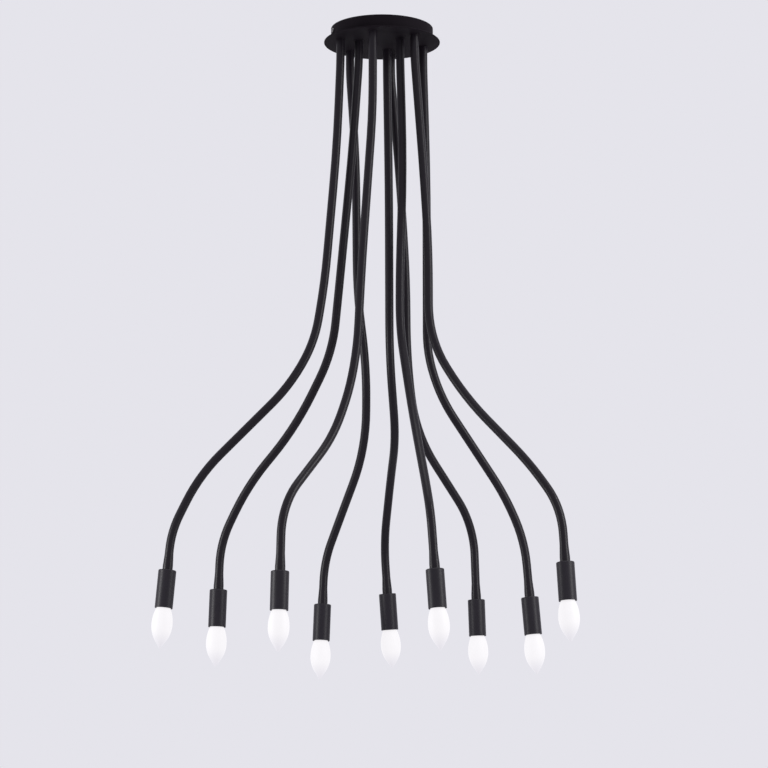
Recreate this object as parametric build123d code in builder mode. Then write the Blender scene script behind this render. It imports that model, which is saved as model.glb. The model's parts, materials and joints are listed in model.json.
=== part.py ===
from build123d import *
import math
import os

# Nine-arm ceiling light. A shallow round canopy is held to the ceiling by a crossbar, and nine
# bent steel tubes hang from its plate, each ending in a sleeve, a lampholder and a candle bulb.
# Millimetres, +Z up. The origin is the middle of the crossbar's top face, on the ceiling, and +X
# runs along the crossbar. Everything lies below z = 0.

# Clearances
RUN_CLEAR = 0.05
SEAT_GAP = 0.1
FREE_CLEAR = 0.3

# Canopy
CANOPY_H = 25.0
WALL_D = 176.0
WALL_T = 1.2
PLATE_T = 2.0
PLATE_LIP = 12.0
PLATE_EDGE_R = 0.8

# Crossbar on the ceiling, with two slots for ceiling screws and an ear bent down at each end
BAR_W = 18.0
BAR_T = 2.0
BAR_BEND_R = 1.0
EAR_L = 15.0
SLOT_SPACING = 70.0
SLOT_L = 24.0
SLOT_W = 5.0

# Canopy side screws and earth screw
SCREW_D = 4.0
SIDE_SCREW_DROP = 10.0
SIDE_SCREW_GRIP = 9.0
SIDE_HEAD_D = 8.0
SIDE_HEAD_T = 2.6
SIDE_HEAD_EDGE_R = 1.5
EARTH_OFFSET = 16.0
EARTH_HEAD_D = 7.5
EARTH_HEAD_T = 2.4
EARTH_HEAD_EDGE_R = 1.2
DRIVE_W = 1.0
DRIVE_DEPTH = 1.0

# Terminal block
BLOCK_POLES = 3
BLOCK_PITCH = 12.0
BLOCK_W = 18.0
BLOCK_BASE_H = 8.0
TOWER_D = 8.0
TOWER_H = 4.0
WIRE_HOLE_D = 4.0
CLAMP_HOLE_D = 3.2

# Arms: tube, the hollow threaded end brazed into each of its ends, and the flare at the lamp
ARM_DROP = 952.0
ARM_REACH = 286.0
ARM_STRAIGHT = 40.0
PERCENT = 0.01
TUBE_D = 14.5
TUBE_T = 1.5
THREAD_D = 10.0
THREAD_BORE = 7.0
THREAD_SPARE = 1.5
BUSH_L = 10.0
ARC_SHARE = 0.48
FLARE_D = 17.0
FLARE_L = 8.0
FLARE_TAPER_L = 26.0
FLARE_SINK = 0.3

# Flange nut that holds an arm in the plate
NUT_FLANGE_D = 18.0
NUT_FLANGE_T = 1.5
NUT_AF = 14.0
NUT_T = 4.0
NUT_WALL_ROOM = 2.8

# Rings of holes in the plate
INNER_RING_R = 42.0
OUTER_RING_R = WALL_D / 2 - WALL_T - NUT_FLANGE_D / 2 - NUT_WALL_ROOM

# Lamp end: sleeve, lampholder and bulb
SLEEVE_D = 30.0
SLEEVE_T = 1.2
SLEEVE_L = 64.0
SLEEVE_TOP_T = 2.5
SLEEVE_TOP_R = 1.8
SLEEVE_RIM_R = 0.4
HOLDER_ROOM = 0.8
HOLDER_THREAD_L = 8.0
HOLDER_LEAD_D = 8.0
HOLDER_RIM_R = 1.0
BULB_RECESS = 10.0
HOLDER_BELOW_CAP = 2.0
CAP_D = 14.0
CAP_ROOT_D = 12.4
CAP_WALL = 0.6
COLLAR_L = 5.0
CAP_PITCH = 2.82
CAP_RIDGES = 4
INSULATOR_L = 3.8
INSULATOR_D = 8.5
CONTACT_L = 2.0
CONTACT_D = 5.5
GLASS_T = 1.0
BULB_D = 35.0
SHOULDER_L = 37.0
BELLY_R = 50.0
TIP_ANGLE = 33.5
TIP_INSIDE_R = 1.0

# The nine arms, counted from left to right as seen from the front, a little to the left of -Y:
# the ring and the angle of the arm's hole, the heading in which it splays, how far its lamp end
# stays above ARM_DROP, and the stations of its route. A station is the move out along the heading
# and the sway to its left, both in percent of ARM_REACH, and the depth in percent of ARM_DROP.
ARMS = {
    1: ("outer", 180, 165, 30, [
        (2, 0, 20), (9, 0, 45), (15, 0, 56), (30, 0, 64), (82, 0, 80), (98, 0, 90), (100, 0, 100),
    ]),
    2: ("inner", 180, 137, 15, [
        (4, 0, 20), (13, 0, 46), (17, 0, 57), (41, 0, 70), (73, 0, 80), (91, 0, 90), (92, 0, 100),
    ]),
    3: ("outer", 240, 205, 5, [
        (1, 1, 15), (9, 0, 44), (12, 0, 58), (18, 0, 66), (31, 0, 75), (70, 0, 88), (71, 0, 100),
    ]),
    4: ("outer", 120, 85, 10, [
        (1, -4, 20), (6, -6, 45), (7, -12, 58), (30, -17, 72), (60, -7, 84), (75, -1, 91), (75, 0, 100),
    ]),
    5: ("inner", 60, 70, 35, [
        (3, -1, 25), (9, -1, 43), (13, -1, 56), (37, -4, 70), (65, 0, 76), (90, 5, 87), (93, 3, 100),
    ]),
    6: ("inner", 300, 265, 5, [
        (3, 1, 24), (7, -2, 44), (7, -2, 54), (30, 0, 70), (62, 0, 84), (74, 0, 90), (75, 2, 100),
    ]),
    7: ("outer", 60, 35, 20, [
        (5, -3, 23), (10, -4, 42), (13, -2, 56), (33, 6, 69), (76, 0, 82), (85, 0, 87), (87, 0, 100),
    ]),
    8: ("outer", 0, 0, 0, [
        (2, 0, 25), (2, 0, 57), (11, 0, 65), (51, 0, 82), (63, 0, 90), (66, 0, 100),
    ]),
    9: ("outer", 300, 315, 25, [
        (6, 0, 26), (9, 0, 40), (9, 0, 56), (32, 0, 67), (74, 0, 80), (93, 0, 88), (95, 0, 100),
    ]),
}

# Levels and radii that follow from the sizes above
PLATE_TOP_Z = PLATE_T - CANOPY_H
PLATE_R = WALL_D / 2 + PLATE_LIP
WALL_IN_R = WALL_D / 2 - WALL_T
EAR_X = math.sqrt(WALL_IN_R**2 - (BAR_W / 2) ** 2) - FREE_CLEAR
TUBE_TOP_Z = -CANOPY_H - SEAT_GAP
NUT_Z = PLATE_TOP_Z + SEAT_GAP
UPPER_THREAD_L = NUT_Z + NUT_FLANGE_T + NUT_T + THREAD_SPARE - TUBE_TOP_Z
LOWER_THREAD_L = SLEEVE_TOP_T + HOLDER_THREAD_L
TUBE_BORE_D = TUBE_D - 2 * TUBE_T
SLEEVE_BORE_D = SLEEVE_D - 2 * SLEEVE_T
CAP_RIM = SLEEVE_L - BULB_RECESS
COLLAR_FLOOR = CAP_WALL - COLLAR_L
CAP_THREAD_L = CAP_PITCH * CAP_RIDGES
CAP_L = COLLAR_L + CAP_THREAD_L + INSULATOR_L + CONTACT_L
HOLDER_MOUTH = CAP_RIM - HOLDER_BELOW_CAP
HOLDER_FLOOR = CAP_RIM - CAP_L - FREE_CLEAR
RING_R = {"outer": OUTER_RING_R, "inner": INNER_RING_R}

os.makedirs("parts", exist_ok=True)


def save(part, name):
    """Label one finished piece and write it."""
    part.label = name
    export_step(part, f"parts/{name}.step")


def arm_root(ring, angle):
    """Middle of an arm's hole, at the top end of its tube."""
    turn = math.radians(angle)
    return Vector(RING_R[ring] * math.cos(turn), RING_R[ring] * math.sin(turn), TUBE_TOP_Z)


def arm_route(root, heading, lift, stations):
    """Corner points of an arm's route, from its root to its lamp end."""
    points = [root, root - Vector(0, 0, ARM_STRAIGHT)]
    for out, sway, depth in stations:
        sideways = Vector(out, sway, 0).rotate(Axis.Z, heading) * ARM_REACH
        points.append(root + (sideways - Vector(0, 0, depth * ARM_DROP)) * PERCENT)
    points[-1] += Vector(0, 0, lift)
    return points


def arc_radii(points):
    """Radius at each inner point of a route, as large as the two runs beside it allow."""
    radii = []
    for before, here, after in zip(points, points[1:], points[2:]):
        shorter = min((here - before).length, (after - here).length)
        half_turn = math.radians((here - before).get_angle(after - here) / 2)
        radii.append(ARC_SHARE * shorter / math.tan(half_turn))
    return radii


def section_plane(end):
    """Plane through a lamp end's axis: its X runs outward from the axis, its Y along the axis."""
    return Plane(origin=end.origin, x_dir=end.x_dir, z_dir=end.x_dir.cross(end.z_dir))


def bulb_outline(wall):
    """Half outline of the bulb's outside, moved inward by wall, from the rim of its cap."""
    neck_r = CAP_D / 2 - CAP_WALL - SEAT_GAP
    swell = BULB_D / 2 - neck_r
    shoulder_r = (swell**2 + SHOULDER_L**2) / (2 * swell)
    shoulder_x = BULB_D / 2 - shoulder_r
    neck_y = SHOULDER_L - math.sqrt((shoulder_r - wall) ** 2 - (neck_r - shoulder_x - wall) ** 2)
    shoulder_turn = math.degrees(math.asin((SHOULDER_L - neck_y) / (shoulder_r - wall)))
    tip_turn = math.radians(TIP_ANGLE)
    belly_x = BULB_D / 2 - BELLY_R
    tip_r = GLASS_T + TIP_INSIDE_R
    flank = (belly_x + BELLY_R * math.cos(tip_turn), SHOULDER_L + BELLY_R * math.sin(tip_turn))
    tip_y = flank[1] + flank[0] / math.tan(tip_turn) - tip_r / math.sin(tip_turn)
    foot_y = COLLAR_FLOOR + SEAT_GAP
    neck = Polyline((0, foot_y), (neck_r - wall, foot_y), (neck_r - wall, neck_y))
    CenterArc((shoulder_x, SHOULDER_L), shoulder_r - wall, -shoulder_turn, shoulder_turn)
    belly = CenterArc((belly_x, SHOULDER_L), BELLY_R - wall, 0, TIP_ANGLE)
    tip = CenterArc((0, tip_y), tip_r - wall, TIP_ANGLE, 90 - TIP_ANGLE)
    Line(belly @ 1, tip @ 0)
    Line(tip @ 1, neck @ 0)


# Crossbar: a steel strip against the ceiling, its ears turned down to take the side screws
with BuildPart() as crossbar:
    with BuildSketch(Plane.XZ):
        with BuildLine():
            Polyline(
                (-EAR_X, -EAR_L), (-EAR_X, 0), (EAR_X, 0), (EAR_X, -EAR_L),
                (EAR_X - BAR_T, -EAR_L), (EAR_X - BAR_T, -BAR_T),
                (BAR_T - EAR_X, -BAR_T), (BAR_T - EAR_X, -EAR_L), close=True,
            )
        make_face()
    extrude(amount=BAR_W / 2, both=True)
    bends = crossbar.edges().filter_by(Axis.Y)
    outer_bends = bends.filter_by_position(Axis.Z, 0, 0)
    inner_bends = bends.filter_by_position(Axis.Z, -BAR_T, -BAR_T)
    fillet(inner_bends, BAR_BEND_R)
    fillet(outer_bends, BAR_BEND_R + BAR_T)
    with BuildSketch(Plane.XY):
        with GridLocations(SLOT_SPACING, 0, 2, 1):
            SlotOverall(SLOT_L, SLOT_W)
        with Locations((-EARTH_OFFSET, 0)):
            Circle(SCREW_D / 2 + RUN_CLEAR)
    extrude(amount=-BAR_T, mode=Mode.SUBTRACT)
    with BuildSketch(Plane.YZ):
        with Locations((0, -SIDE_SCREW_DROP)):
            Circle(SCREW_D / 2 + RUN_CLEAR)
    extrude(amount=EAR_X, both=True, mode=Mode.SUBTRACT)
save(crossbar.part, "ceiling_crossbar")

# Canopy wall: a rolled steel band standing on the plate, with a hole for each side screw
with BuildPart() as wall:
    with BuildSketch(Plane.XY.offset(PLATE_TOP_Z)):
        Circle(WALL_D / 2)
        Circle(WALL_IN_R, mode=Mode.SUBTRACT)
    extrude(amount=-PLATE_TOP_Z)
    with BuildSketch(Plane.YZ):
        with Locations((0, -SIDE_SCREW_DROP)):
            Circle(SCREW_D / 2 + FREE_CLEAR)
    extrude(amount=WALL_D, both=True, mode=Mode.SUBTRACT)
save(wall.part, "canopy_wall")

# Arm plate: the round steel bottom of the canopy, one hole for each arm
with BuildPart() as plate:
    with BuildSketch(Plane.XY.offset(-CANOPY_H)):
        Circle(PLATE_R)
        for ring, angle, *rest in ARMS.values():
            with PolarLocations(RING_R[ring], 1, start_angle=angle):
                Circle(THREAD_D / 2 + RUN_CLEAR, mode=Mode.SUBTRACT)
    extrude(amount=PLATE_T)
    fillet(plate.edges().filter_by(GeomType.CIRCLE).group_by(SortBy.RADIUS)[-1], PLATE_EDGE_R)
save(plate.part, "arm_plate")

# Side screws: two domed screws through the wall into the crossbar's ears
with BuildPart() as side_screws:
    for side in (Plane.YZ, Plane.ZY):
        seat = Plane(
            origin=(side.z_dir.X * WALL_D / 2, 0, -SIDE_SCREW_DROP), x_dir=(0, 1, 0), z_dir=side.z_dir
        )
        with BuildSketch(seat):
            Circle(SCREW_D / 2)
        extrude(amount=-SIDE_SCREW_GRIP)
        with BuildSketch(seat):
            Circle(SIDE_HEAD_D / 2)
        extrude(amount=SIDE_HEAD_T)
        outer_edge = side_screws.edges().sort_by(Axis((0, 0, 0), side.z_dir))[-1]
        fillet(outer_edge, SIDE_HEAD_EDGE_R)
        with BuildSketch(seat.offset(SIDE_HEAD_T)):
            Rectangle(SIDE_HEAD_D, DRIVE_W)
        extrude(amount=-DRIVE_DEPTH, mode=Mode.SUBTRACT)
save(side_screws.part, "side_screws")

# Earth screw: up through the crossbar, its head below
with BuildPart() as earth_screw:
    with BuildSketch(Plane.XY.offset(-SEAT_GAP)):
        with Locations((-EARTH_OFFSET, 0)):
            Circle(SCREW_D / 2)
    extrude(amount=SEAT_GAP - BAR_T)
    with BuildSketch(Plane.XY.offset(-BAR_T)):
        with Locations((-EARTH_OFFSET, 0)):
            Circle(EARTH_HEAD_D / 2)
    extrude(amount=-EARTH_HEAD_T)
    fillet(earth_screw.edges().sort_by(Axis.Z)[0], EARTH_HEAD_EDGE_R)
    with BuildSketch(Plane.XY.offset(-BAR_T - EARTH_HEAD_T)):
        with Locations((-EARTH_OFFSET, 0)):
            Rectangle(EARTH_HEAD_D, DRIVE_W)
    extrude(amount=DRIVE_DEPTH, mode=Mode.SUBTRACT)
save(earth_screw.part, "earth_screw")

# Terminal block: a moulded strip on the plate, with a wire hole and a clamp screw well per pole
with BuildPart() as block:
    with BuildSketch(Plane.XY.offset(PLATE_TOP_Z)):
        Rectangle(BLOCK_POLES * BLOCK_PITCH, BLOCK_W)
    extrude(amount=BLOCK_BASE_H)
    with BuildSketch(Plane.XY.offset(PLATE_TOP_Z + BLOCK_BASE_H)):
        with GridLocations(BLOCK_PITCH, BLOCK_W / 2, BLOCK_POLES, 2):
            Circle(TOWER_D / 2)
    extrude(amount=TOWER_H)
    with BuildSketch(Plane.XY.offset(PLATE_TOP_Z + BLOCK_BASE_H + TOWER_H)):
        with GridLocations(BLOCK_PITCH, BLOCK_W / 2, BLOCK_POLES, 2):
            Circle(CLAMP_HOLE_D / 2)
    extrude(amount=-TOWER_H - BLOCK_BASE_H / 2, mode=Mode.SUBTRACT)
    with BuildSketch(Plane.XZ):
        with Locations((0, PLATE_TOP_Z + BLOCK_BASE_H / 2)):
            with GridLocations(BLOCK_PITCH, 0, BLOCK_POLES, 1):
                Circle(WIRE_HOLE_D / 2)
    extrude(amount=BLOCK_W, both=True, mode=Mode.SUBTRACT)
save(block.part, "terminal_block")

for number, (ring, angle, heading, lift, stations) in ARMS.items():
    root = arm_root(ring, angle)
    points = arm_route(root, heading, lift, stations)

    # Arm tube: one bent steel tube with a hollow threaded end at the plate and at the lamp, and a
    # flare where it meets the sleeve
    with BuildPart() as tube:
        with BuildLine():
            route = FilletPolyline(*points, radius=arc_radii(points))
        with BuildSketch(Plane(origin=root, x_dir=(1, 0, 0), z_dir=(0, 0, -1))):
            Circle(TUBE_D / 2)
            Circle(TUBE_BORE_D / 2, mode=Mode.SUBTRACT)
        sweep(path=route)
        end = Plane(origin=route @ 1, x_dir=Vector(1, 0, 0).cross(route % 1), z_dir=route % 1)
        top = Plane(origin=root, x_dir=(1, 0, 0), z_dir=(0, 0, 1))
        for face, thread_l in ((top, UPPER_THREAD_L), (end, LOWER_THREAD_L)):
            with BuildSketch(face.offset(-BUSH_L)):
                Circle(TUBE_BORE_D / 2)
                Circle(THREAD_BORE / 2, mode=Mode.SUBTRACT)
            extrude(amount=BUSH_L)
            with BuildSketch(face.offset(-BUSH_L)):
                Circle(THREAD_D / 2)
                Circle(THREAD_BORE / 2, mode=Mode.SUBTRACT)
            extrude(amount=BUSH_L + thread_l)
        flare_foot = TUBE_D / 2 - FLARE_SINK
        with BuildSketch(section_plane(end)):
            with BuildLine():
                Polyline(
                    (flare_foot, 0), (FLARE_D / 2, 0), (FLARE_D / 2, -FLARE_L),
                    (flare_foot, -FLARE_L - FLARE_TAPER_L), close=True,
                )
            make_face()
        revolve(axis=Axis(end.origin, end.z_dir))
    save(tube.part, f"arm_{number}_tube")

    # Flange nut: screwed on the arm's upper thread, inside the canopy
    with BuildPart() as nut:
        with BuildSketch(Plane.XY.offset(NUT_Z)):
            with Locations((root.X, root.Y)):
                Circle(NUT_FLANGE_D / 2)
        extrude(amount=NUT_FLANGE_T)
        with BuildSketch(Plane.XY.offset(NUT_Z + NUT_FLANGE_T)):
            with Locations((root.X, root.Y)):
                RegularPolygon(NUT_AF / 2, 6, major_radius=False)
        extrude(amount=NUT_T)
        with BuildSketch(Plane.XY.offset(NUT_Z)):
            with Locations((root.X, root.Y)):
                Circle(THREAD_D / 2 + RUN_CLEAR)
        extrude(amount=NUT_FLANGE_T + NUT_T, mode=Mode.SUBTRACT)
    save(nut.part, f"arm_{number}_nut")

    # Sleeve: a turned steel cup, clamped between the tube's end and the lampholder
    with BuildPart() as sleeve:
        with BuildSketch(end):
            Circle(SLEEVE_D / 2)
        extrude(amount=SLEEVE_L)
        rims = sleeve.edges().filter_by(GeomType.CIRCLE).sort_by(Axis(end.origin, end.z_dir))
        fillet(rims[0], SLEEVE_TOP_R)
        fillet(rims[-1], SLEEVE_RIM_R)
        with BuildSketch(end.offset(SLEEVE_TOP_T)):
            Circle(SLEEVE_BORE_D / 2)
        extrude(amount=SLEEVE_L, mode=Mode.SUBTRACT)
        with BuildSketch(end):
            Circle(THREAD_D / 2 + SEAT_GAP)
        extrude(amount=SLEEVE_TOP_T, mode=Mode.SUBTRACT)
    save(sleeve.part, f"arm_{number}_sleeve")

    # Lampholder: a moulded body screwed on the arm's lower thread, bored for the bulb's cap
    with BuildPart() as holder:
        with BuildSketch(end.offset(SLEEVE_TOP_T)):
            Circle(SLEEVE_BORE_D / 2 - HOLDER_ROOM)
        extrude(amount=HOLDER_MOUTH - SLEEVE_TOP_T)
        rims = holder.edges().filter_by(GeomType.CIRCLE).sort_by(Axis(end.origin, end.z_dir))
        fillet(rims[-1], HOLDER_RIM_R)
        with BuildSketch(end.offset(HOLDER_FLOOR)):
            Circle(CAP_D / 2 + FREE_CLEAR)
        extrude(amount=HOLDER_MOUTH - HOLDER_FLOOR, mode=Mode.SUBTRACT)
        with BuildSketch(end.offset(SLEEVE_TOP_T)):
            Circle(THREAD_D / 2 + RUN_CLEAR)
        extrude(amount=HOLDER_THREAD_L + THREAD_SPARE, mode=Mode.SUBTRACT)
        with BuildSketch(end.offset(SLEEVE_TOP_T)):
            Circle(HOLDER_LEAD_D / 2)
        extrude(amount=HOLDER_FLOOR - SLEEVE_TOP_T, mode=Mode.SUBTRACT)
    save(holder.part, f"arm_{number}_lampholder")

    # Bulb cap: a screw shell with its collar, insulator and centre contact
    cap_rim = end.offset(CAP_RIM)
    bulb_axis = Axis(end.origin, end.z_dir)
    with BuildPart() as cap:
        with BuildSketch(section_plane(cap_rim)):
            with BuildLine():
                contact = Polyline(
                    (0, -CAP_L), (CONTACT_D / 2, -CAP_L), (CONTACT_D / 2, CONTACT_L - CAP_L),
                    (INSULATOR_D / 2, CONTACT_L - CAP_L), (CAP_ROOT_D / 2, -COLLAR_L - CAP_THREAD_L),
                )
                for ridge in range(CAP_RIDGES):
                    foot = -COLLAR_L - CAP_THREAD_L + ridge * CAP_PITCH
                    ThreePointArc(
                        (CAP_ROOT_D / 2, foot), (CAP_D / 2, foot + CAP_PITCH / 2),
                        (CAP_ROOT_D / 2, foot + CAP_PITCH),
                    )
                Polyline(
                    (CAP_ROOT_D / 2, -COLLAR_L), (CAP_D / 2, -COLLAR_L), (CAP_D / 2, 0),
                    (CAP_D / 2 - CAP_WALL, 0), (CAP_D / 2 - CAP_WALL, COLLAR_FLOOR),
                    (CAP_ROOT_D / 2 - CAP_WALL, COLLAR_FLOOR),
                    (CAP_ROOT_D / 2 - CAP_WALL, -COLLAR_L - CAP_THREAD_L),
                    (0, -COLLAR_L - CAP_THREAD_L), contact @ 0,
                )
            make_face()
        revolve(axis=bulb_axis)
    save(cap.part, f"bulb_{number}_cap")

    # Bulb glass: a blown candle shape with an open neck, cemented into the cap's collar
    with BuildPart() as glass:
        with BuildSketch(section_plane(cap_rim)):
            with BuildLine():
                bulb_outline(0)
            make_face()
            with BuildLine():
                bulb_outline(GLASS_T)
            make_face(mode=Mode.SUBTRACT)
        revolve(axis=bulb_axis)
    save(glass.part, f"bulb_{number}_glass")
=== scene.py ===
import json
import math

import bpy
from mathutils import Matrix, Vector


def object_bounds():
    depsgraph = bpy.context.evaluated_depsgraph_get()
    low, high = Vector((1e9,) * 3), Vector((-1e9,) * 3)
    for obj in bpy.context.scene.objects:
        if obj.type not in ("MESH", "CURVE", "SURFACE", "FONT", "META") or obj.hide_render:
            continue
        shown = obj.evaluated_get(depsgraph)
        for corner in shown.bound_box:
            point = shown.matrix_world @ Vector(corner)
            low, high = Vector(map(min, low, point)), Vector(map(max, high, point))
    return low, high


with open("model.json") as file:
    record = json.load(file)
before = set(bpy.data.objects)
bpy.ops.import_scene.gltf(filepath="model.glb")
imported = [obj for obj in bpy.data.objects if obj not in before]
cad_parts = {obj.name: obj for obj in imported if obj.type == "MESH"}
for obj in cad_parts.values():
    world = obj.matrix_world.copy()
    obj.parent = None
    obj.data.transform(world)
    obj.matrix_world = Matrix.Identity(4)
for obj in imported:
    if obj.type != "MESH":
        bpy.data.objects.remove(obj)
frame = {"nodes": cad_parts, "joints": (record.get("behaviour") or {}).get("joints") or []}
cad_low, cad_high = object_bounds()

# Camera
# The light hangs above eye level. It is seen from well back and a little below, through a long
# lens, and turned a little from square to its crossbar. The nine arms then show one beside the
# other, with almost no perspective.
VIEW_TURN = math.radians(18)
VIEW_PITCH = math.radians(10.903)
CAMERA_PLACE = Vector((-1.7284, -5.3307, -1.7037))
SENSOR_WIDTH = 36.0
FOCAL_LENGTH = 157.97

view_right = Vector((math.cos(VIEW_TURN), -math.sin(VIEW_TURN), 0))
view_level = Vector((math.sin(VIEW_TURN), math.cos(VIEW_TURN), 0))
view_forward = view_level * math.cos(VIEW_PITCH) + Vector((0, 0, math.sin(VIEW_PITCH)))
view_up = view_right.cross(view_forward)
camera = bpy.data.objects.new("camera", bpy.data.cameras.new("camera"))
camera.data.sensor_width = SENSOR_WIDTH
camera.data.lens = FOCAL_LENGTH
camera_axes = Matrix((view_right, view_up, -view_forward)).transposed().to_4x4()
camera.matrix_world = Matrix.Translation(CAMERA_PLACE) @ camera_axes
bpy.context.scene.collection.objects.link(camera)
bpy.context.scene.camera = camera


# Ceiling crossbar
# A strip of mild steel with two punched slots and an ear bent down at each end, zinc plated after
# bending. It is screwed to the ceiling and carries everything else.
class Wire:
    """A value on its way through a finish. Arithmetic and comparisons on it add Math nodes."""

    def __init__(self, nodes, socket):
        self.nodes = nodes
        self.socket = socket

    def __add__(self, other):
        return self.nodes.math("ADD", self, other)

    def __sub__(self, other):
        return self.nodes.math("SUBTRACT", self, other)

    def __rsub__(self, other):
        return self.nodes.math("SUBTRACT", other, self)

    def __mul__(self, other):
        return self.nodes.math("MULTIPLY", self, other)

    def __truediv__(self, other):
        return self.nodes.math("DIVIDE", self, other)

    def __lt__(self, other):
        return self.nodes.math("LESS_THAN", self, other)

    def __gt__(self, other):
        return self.nodes.math("GREATER_THAN", self, other)

    __radd__ = __add__
    __rmul__ = __mul__


class Nodes:
    """The nodes of one finish, or of the backdrop."""

    def __init__(self, tree):
        self.tree = tree

    def fill(self, made, inputs):
        """Link wires to a node's sockets, and set the other values on the sockets themselves."""
        for name, value in inputs.items():
            if isinstance(value, Wire):
                self.tree.links.new(value.socket, made.inputs[name])
            else:
                made.inputs[name].default_value = value

    def node(self, kind, settings, inputs, output=0):
        """Add a node of that kind, and give the wire that leaves one of its outputs."""
        made = self.tree.nodes.new("ShaderNode" + kind)
        for name, value in settings.items():
            setattr(made, name, value)
        self.fill(made, inputs)
        return Wire(self, made.outputs[output])

    def math(self, operation, first, second):
        """One step of arithmetic on two values."""
        return self.node("Math", {"operation": operation}, {0: first, 1: second})

    def place(self):
        """Where a point of the piece lies, in metres. It stays with the piece as it moves."""
        return self.node("TexCoord", {}, {}, "Object")

    def noise(self, size, stretch=(1, 1, 1), detail=2.0):
        """Soft random variation, from 0 to 1, in patches of about that size in metres."""
        scale = [share / size for share in stretch]
        spread = self.node("Mapping", {}, {"Vector": self.place(), "Scale": scale})
        inputs = {"Vector": spread, "Scale": 1.0, "Detail": detail}
        return self.node("TexNoise", {}, inputs, "Fac")

    def blend(self, factor, first, second):
        """A colour between two colours. A Mix node has its colour sockets at these places."""
        first_colour, second_colour, mixed_colour = 6, 7, 2
        inputs = {"Factor": factor, first_colour: first, second_colour: second}
        return self.node("Mix", {"data_type": "RGBA"}, inputs, mixed_colour)

    def bump(self, height, distance):
        """A surface normal roughened by a height, from 0 to 1, over that distance in metres."""
        inputs = {"Height": height, "Distance": distance, "Strength": 1.0}
        return self.node("Bump", {}, inputs, "Normal")


def new_finish(name):
    """An empty finish: its material, its nodes and its surface shader."""
    material = bpy.data.materials.new(name)
    material.use_nodes = True
    nodes = Nodes(material.node_tree)
    return material, nodes, material.node_tree.nodes["Principled BSDF"]


def dress(node, material):
    """Give one CAD piece its finish."""
    for slot in frame["nodes"][node].material_slots:
        slot.material = material


def plated_steel(name, grain):
    """Zinc plate over steel, with rolling marks along the grain and cloudy crystals."""
    dull = (0.44, 0.45, 0.46, 1)
    bright = (0.62, 0.63, 0.64, 1)
    roughness = 0.24
    mark_size, mark_depth, mark_roughness = 0.0004, 0.00003, 0.16
    cloud_size, cloud_roughness = 0.006, 0.1
    material, nodes, surface = new_finish(name)
    marks = nodes.noise(mark_size, grain, detail=3.0)
    clouds = nodes.noise(cloud_size)
    nodes.fill(surface, {
        "Base Color": nodes.blend(clouds, dull, bright),
        "Metallic": 1.0,
        "Roughness": roughness + mark_roughness * marks + cloud_roughness * clouds,
        "Normal": nodes.bump(marks, mark_depth),
    })
    return material


ALONG_THE_STRIP = (0.02, 1, 1)
dress("ceiling_crossbar", plated_steel("zinc_plated_strip", ALONG_THE_STRIP))

# Canopy wall and arm plate
# The wall is a rolled steel band welded on a round steel plate that stands out past it. Both are
# powder coated black together, and the baked powder leaves a fine orange-peel skin.
NOISE_MIDDLE = 0.5


def powder_coat(name, deep, worn, roughness, sheen, peel):
    """Baked powder paint: a pebbled skin of that peel size, cloudy in colour and in gloss."""
    peel_depth = peel * 0.12
    speck_size, speck_height, speck_colour, speck_roughness = peel / 4, 0.25, 0.3, 0.06
    cloud_size, cloud_colour, cloud_roughness = 0.03, 0.7, 0.12
    material, nodes, surface = new_finish(name)
    pebbles = nodes.noise(peel, detail=1.0)
    specks = nodes.noise(speck_size, detail=1.0)
    clouds = nodes.noise(cloud_size, detail=3.0)
    wear = clouds * cloud_colour + specks * speck_colour
    cloudy = roughness + cloud_roughness * (clouds - NOISE_MIDDLE)
    nodes.fill(surface, {
        "Base Color": nodes.blend(wear, deep, worn),
        "Roughness": cloudy + speck_roughness * (specks - NOISE_MIDDLE),
        "Specular IOR Level": sheen,
        "Normal": nodes.bump(pebbles + speck_height * specks, peel_depth),
    })
    return material


canopy_black = powder_coat(
    "canopy_powder_black",
    deep=(0.0042, 0.0029, 0.0046, 1),
    worn=(0.0100, 0.0072, 0.0104, 1),
    roughness=0.72,
    sheen=0.06,
    peel=0.0012,
)
dress("canopy_wall", canopy_black)
dress("arm_plate", canopy_black)


# Side screws and earth screw
# The two domed side screws are slotted and plated in dark nickel, and pass through the wall into
# the crossbar's ears. The earth screw is turned brass and stays bright under the crossbar.
def turned_metal(name, deep, bright, roughness):
    """A turned screw, with fine cutting marks and a little tarnish."""
    mark_size, mark_depth, mark_roughness = 0.00025, 0.00002, 0.15
    tarnish_size, tarnish_roughness = 0.002, 0.2
    material, nodes, surface = new_finish(name)
    marks = nodes.noise(mark_size, detail=3.0)
    tarnish = nodes.noise(tarnish_size, detail=3.0)
    marked = roughness + mark_roughness * (marks - NOISE_MIDDLE)
    nodes.fill(surface, {
        "Base Color": nodes.blend(tarnish, deep, bright),
        "Metallic": 1.0,
        "Roughness": marked + tarnish_roughness * (tarnish - NOISE_MIDDLE),
        "Normal": nodes.bump(marks, mark_depth),
    })
    return material


dark_nickel = turned_metal(
    "dark_nickel_screw",
    deep=(0.11, 0.11, 0.115, 1),
    bright=(0.20, 0.195, 0.19, 1),
    roughness=0.3,
)
bright_brass = turned_metal(
    "turned_brass",
    deep=(0.46, 0.30, 0.10, 1),
    bright=(0.74, 0.55, 0.24, 1),
    roughness=0.25,
)
dress("side_screws", dark_nickel)
dress("earth_screw", bright_brass)

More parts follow.
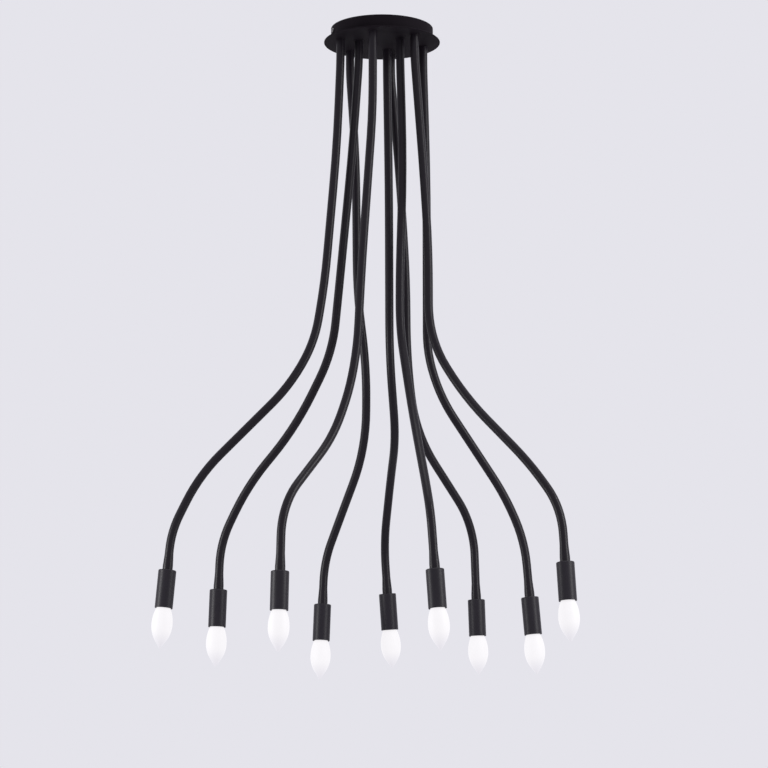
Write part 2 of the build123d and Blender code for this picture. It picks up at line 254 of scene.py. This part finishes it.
# Terminal block
# A moulded strip of three poles in natural white polyamide. It sits on the plate and joins the
# supply to the nine lamps. The plastic is a little waxy, with a faint spark-eroded mould texture.
NYLON_DEEP = (0.70, 0.69, 0.64, 1)
NYLON_BRIGHT = (0.82, 0.82, 0.79, 1)
NYLON_ROUGHNESS = 0.42
WAX_CLOUD_SIZE = 0.012
WAX_WEIGHT = 0.15
WAX_RADIUS = (0.003, 0.003, 0.002)
MOULD_GRAIN_SIZE = 0.0006
MOULD_GRAIN_DEPTH = 0.00004
MOULD_GRAIN_ROUGHNESS = 0.15

natural_nylon, nodes, surface = new_finish("natural_nylon")
mould_grain = nodes.noise(MOULD_GRAIN_SIZE, detail=1.0)
wax_clouds = nodes.noise(WAX_CLOUD_SIZE)
nodes.fill(surface, {
    "Base Color": nodes.blend(wax_clouds, NYLON_DEEP, NYLON_BRIGHT),
    "Roughness": NYLON_ROUGHNESS + MOULD_GRAIN_ROUGHNESS * (mould_grain - NOISE_MIDDLE),
    "Subsurface Weight": WAX_WEIGHT,
    "Subsurface Radius": WAX_RADIUS,
    "Normal": nodes.bump(mould_grain, MOULD_GRAIN_DEPTH),
})
dress("terminal_block", natural_nylon)

# Arm tubes
# Each arm is one length of steel tube bent by hand, with a hollow threaded end brazed in at the
# plate and at the lamp. It is sprayed satin black, smoother than the canopy. The threaded end that
# stands up inside the canopy is masked off and keeps its zinc plate.
ARM_NUMBERS = range(1, 10)
PAINT_TOP = -0.0251
PAINT_DEEP = (0.0038, 0.0023, 0.0048, 1)
PAINT_WORN = (0.0082, 0.0055, 0.0098, 1)
PAINT_ROUGHNESS = 0.38
PAINT_SHEEN = 0.22
SPRAY_SIZE = 0.0012
SPRAY_HEIGHT = 0.05
DRIFT_SIZE = 0.05
DRIFT_ALONG_ARM = (1, 1, 0.3)
DRIFT_ROUGHNESS = 0.1
TOUCH_SIZE = 0.012
TOUCH_ROUGHNESS = 0.1
# Zinc tones for the bare thread: darker in the thread roots and lighter on the crests, as painted
# shade and painted highlight.
ZINC_ROOT_SHADE = (0.36, 0.36, 0.37, 1)
ZINC_CREST_HIGHLIGHT = (0.60, 0.61, 0.62, 1)
HALF_THREAD = 0.0005
THREAD_DEPTH = 0.0005

tube_black, nodes, surface = new_finish("tube_satin_black")
spray = nodes.noise(SPRAY_SIZE)
drift = nodes.noise(DRIFT_SIZE, DRIFT_ALONG_ARM, detail=3.0)
touch = nodes.noise(TOUCH_SIZE, detail=4.0)
height = nodes.node("SeparateXYZ", {}, {"Vector": nodes.place()}, "Z")
bare = height > PAINT_TOP
thread = nodes.math("PINGPONG", height, HALF_THREAD) / HALF_THREAD
paint = nodes.blend(drift, PAINT_DEEP, PAINT_WORN)
# The zinc end is painted darker in each thread root and lighter on each crest: painted shade and
# painted highlight that follow the thread.
shaded_zinc = nodes.blend(thread, ZINC_ROOT_SHADE, ZINC_CREST_HIGHLIGHT)
drifted = PAINT_ROUGHNESS + DRIFT_ROUGHNESS * (drift - NOISE_MIDDLE)
nodes.fill(surface, {
    "Base Color": nodes.blend(bare, paint, shaded_zinc),
    "Metallic": bare,
    "Roughness": drifted + TOUCH_ROUGHNESS * (touch - NOISE_MIDDLE),
    "Specular IOR Level": PAINT_SHEEN,
    "Normal": nodes.bump(spray * SPRAY_HEIGHT + bare * thread, THREAD_DEPTH),
})
for number in ARM_NUMBERS:
    dress(f"arm_{number}_tube", tube_black)

# Flange nuts
# Zinc plated hexagon nuts with a pressed flange, one on each arm's upper thread inside the canopy.
# They clamp the arm to the plate and can be eased to turn it.
ALONG_THE_THREAD = (1, 1, 0.2)
nut_zinc = plated_steel("zinc_plated_nut", ALONG_THE_THREAD)
for number in ARM_NUMBERS:
    dress(f"arm_{number}_nut", nut_zinc)

# Lamp sleeves
# Turned steel cups that hide the lampholders, threaded on the arm's lower end. Their powder coat
# is flatter and a shade greyer than the tubes, so broad soft bands of light show on them.
sleeve_black = powder_coat(
    "sleeve_powder_black",
    deep=(0.0084, 0.0064, 0.0104, 1),
    worn=(0.0152, 0.0126, 0.0182, 1),
    roughness=0.42,
    sheen=0.24,
    peel=0.0008,
)
for number in ARM_NUMBERS:
    dress(f"arm_{number}_sleeve", sleeve_black)

# Lampholders
# Moulded black phenolic bodies screwed on the arm inside the sleeve. Only the mouth round the
# bulb's cap can be seen. The moulding is dull, with the mineral filler showing as faint specks.
PHENOLIC_DEEP = (0.008, 0.008, 0.008, 1)
PHENOLIC_SPECK = (0.022, 0.020, 0.019, 1)
PHENOLIC_ROUGHNESS = 0.45
FILLER_SIZE = 0.0005
FILLER_DEPTH = 0.00003
FLOW_SIZE = 0.008
FLOW_ROUGHNESS = 0.2

phenolic, nodes, surface = new_finish("black_phenolic")
filler = nodes.noise(FILLER_SIZE)
flow = nodes.noise(FLOW_SIZE, detail=3.0)
nodes.fill(surface, {
    "Base Color": nodes.blend(filler, PHENOLIC_DEEP, PHENOLIC_SPECK),
    "Roughness": PHENOLIC_ROUGHNESS + FLOW_ROUGHNESS * (flow - NOISE_MIDDLE),
    "Normal": nodes.bump(filler, FILLER_DEPTH),
})
for number in ARM_NUMBERS:
    dress(f"arm_{number}_lampholder", phenolic)

# Bulb caps
# Rolled screw shells of nickel plated brass. A ring of black glass insulates the centre contact,
# which is a drop of solder. The three are told apart by how far they lie along the bulb's axis.
CONTACT_LENGTH = 0.002
INSULATOR_LENGTH = 0.0038
PLATING_DEEP = (0.56, 0.54, 0.50, 1)
PLATING_BRIGHT = (0.74, 0.73, 0.70, 1)
PLATING_ROUGHNESS = 0.22
SOLDER = (0.50, 0.50, 0.51, 1)
SOLDER_ROUGHNESS = 0.2
BLACK_GLASS = (0.01, 0.01, 0.012, 1)
RUB_SIZE = 0.0015
RUB_ROUGHNESS = 0.16
bulb_axes = {
    number: Vector(joint["axis"])
    for number in ARM_NUMBERS
    for joint in frame["joints"]
    if joint["name"] == f"bulb_{number}_unscrew"
}


def places_along(node, axis):
    """How far along an axis each point of a piece lies."""
    return [axis.dot(vertex.co) for vertex in frame["nodes"][node].data.vertices]


def past(nodes, axis, start):
    """How far a point of the piece lies past the start, along the axis."""
    settings = {"operation": "DOT_PRODUCT"}
    return nodes.node("VectorMath", settings, {0: nodes.place(), 1: axis}, "Value") - start


for number, axis in bulb_axes.items():
    start = min(places_along(f"bulb_{number}_cap", axis))
    cap_metal, nodes, surface = new_finish(f"bulb_{number}_cap_metal")
    depth = past(nodes, axis, start)
    solder = depth < CONTACT_LENGTH
    insulator = (depth < CONTACT_LENGTH + INSULATOR_LENGTH) - solder
    rub = nodes.noise(RUB_SIZE, detail=3.0)
    plating = nodes.blend(rub, PLATING_DEEP, PLATING_BRIGHT)
    with_solder = nodes.blend(solder, plating, SOLDER)
    nodes.fill(surface, {
        "Base Color": nodes.blend(insulator, with_solder, BLACK_GLASS),
        "Metallic": 1 - insulator,
        "Roughness": PLATING_ROUGHNESS + RUB_ROUGHNESS * rub + SOLDER_ROUGHNESS * solder,
    })
    dress(f"bulb_{number}_cap", cap_metal)

# Bulb glass
# Blown candle bulbs with the glass frosted white all over, cemented in their caps. They glow softly
# and evenly from inside, and the glow fades towards the tip, which lies far from the filament.
GLOW = (0.995, 0.973, 1.0, 1)
TIP_GLOW = (0.83, 0.81, 0.87, 1)
GLOW_STRENGTH = 0.826
TIP_FROM, TIP_TO = 0.6, 1.0
FROST_DEEP = (0.10, 0.10, 0.102, 1)
FROST_BRIGHT = (0.12, 0.12, 0.12, 1)
FROST_ROUGHNESS = 0.6
FROST_CLOUD_SIZE = 0.009
ETCH_SIZE = 0.0004
ETCH_DEPTH = 0.00001
ETCH_ROUGHNESS = 0.12
SMOOTH_RAMP = {"interpolation_type": "SMOOTHSTEP"}

for number, axis in bulb_axes.items():
    places = places_along(f"bulb_{number}_glass", axis)
    start, end = min(places), max(places)
    frosted, nodes, surface = new_finish(f"bulb_{number}_frosted_glass")
    share = past(nodes, axis, start) / (end - start)
    tip = {"Value": share, "From Min": TIP_FROM, "From Max": TIP_TO}
    towards_tip = nodes.node("MapRange", SMOOTH_RAMP, tip)
    etch = nodes.noise(ETCH_SIZE)
    cloud = nodes.noise(FROST_CLOUD_SIZE)
    nodes.fill(surface, {
        "Base Color": nodes.blend(cloud, FROST_DEEP, FROST_BRIGHT),
        "Roughness": FROST_ROUGHNESS + ETCH_ROUGHNESS * (etch - NOISE_MIDDLE),
        "Emission Color": nodes.blend(towards_tip, GLOW, TIP_GLOW),
        "Emission Strength": GLOW_STRENGTH,
        "Normal": nodes.bump(etch, ETCH_DEPTH),
    })
    dress(f"bulb_{number}_glass", frosted)

# Backdrop and floor
# A plain pale room colour on all sides and a pale floor at a usual ceiling height below the light.
# The floor fades into the backdrop and takes the light's soft shadow. It has no underside, so the
# light can also be looked at from far below.
BACKDROP = (0.783, 0.776, 0.831, 1)
FILL_LIGHT = (0.55, 0.55, 0.57, 1)
FLOOR_DEEP = (0.890, 0.883, 0.945, 1)
FLOOR_BRIGHT = (0.910, 0.903, 0.965, 1)
FLOOR_ROUGHNESS = 0.8
FLOOR_MOTTLE_SIZE = 0.4
FLOOR_DROP = 2.4
FLOOR_RADIUS = 6.0
FLOOR_SIDES = 96
FLOOR_FADE_FROM = 2.0

world = bpy.data.worlds.new("pale_backdrop")
world.use_nodes = True
bpy.context.scene.world = world
nodes = Nodes(world.node_tree)
seen = nodes.node("LightPath", {}, {}, "Is Camera Ray")
for ray in ("Is Glossy Ray", "Is Transmission Ray"):
    seen = nodes.math("MAXIMUM", seen, nodes.node("LightPath", {}, {}, ray))
nodes.fill(world.node_tree.nodes["Background"], {
    "Color": nodes.blend(seen, FILL_LIGHT, BACKDROP),
    "Strength": 1.0,
})

bpy.ops.mesh.primitive_circle_add(
    vertices=FLOOR_SIDES, radius=FLOOR_RADIUS, fill_type="NGON", location=(0, 0, -FLOOR_DROP)
)
floor = bpy.context.object
floor.name = "floor"
pale_floor, nodes, surface = new_finish("pale_floor")
mottle = nodes.noise(FLOOR_MOTTLE_SIZE, detail=3.0)
nodes.fill(surface, {
    "Base Color": nodes.blend(mottle, FLOOR_DEEP, FLOOR_BRIGHT),
    "Roughness": FLOOR_ROUGHNESS,
})
from_middle = nodes.node("VectorMath", {"operation": "LENGTH"}, {0: nodes.place()}, "Value")
rim = {"Value": from_middle, "From Min": FLOOR_FADE_FROM, "From Max": FLOOR_RADIUS}
fade = nodes.node("MapRange", SMOOTH_RAMP, rim)
underside = nodes.node("NewGeometry", {}, {}, "Backfacing")
hidden = nodes.math("MAXIMUM", fade, underside)
clear = nodes.node("BsdfTransparent", {}, {})
painted = Wire(nodes, surface.outputs["BSDF"])
mixed = nodes.node("MixShader", {}, {0: hidden, 1: painted, 2: clear})
nodes.fill(pale_floor.node_tree.nodes["Material Output"], {"Surface": mixed})
floor.data.materials.append(pale_floor)


# Studio lamps
# Two soft boxes stand close by the light, one on each side, and each shows most on the arms of its
# own side. A third hangs above. Each box is set by its angle from the camera's side, its distance,
# its height, its size and its brightness.
def soft_box(name, turn, distance, height, width, tall, radiance):
    """A soft box that faces the light's middle."""
    aim = Vector((0, 0, (cad_low.z + cad_high.z) / 2))
    angle = math.radians(turn)
    place = (view_right * math.sin(angle) - view_level * math.cos(angle)) * distance
    place.z = height
    lamp = bpy.data.lights.new(name, "AREA")
    lamp.shape = "RECTANGLE"
    lamp.size = width
    lamp.size_y = tall
    lamp.energy = radiance * math.pi * width * tall
    box = bpy.data.objects.new(name, lamp)
    box.location = place
    box.rotation_euler = (aim - place).to_track_quat("-Z", "Y").to_euler()
    bpy.context.scene.collection.objects.link(box)


soft_box(
    "left_soft_box", turn=-75, distance=1.5, height=-0.8, width=0.3, tall=0.7, radiance=16.0
)
soft_box(
    "right_soft_box", turn=64, distance=1.6, height=-0.3, width=0.28, tall=1.6, radiance=12.0
)
soft_box("top_soft_box", turn=0, distance=0.3, height=2.2, width=1.6, tall=1.6, radiance=3.0)

bpy.context.scene.view_settings.view_transform = "Standard"
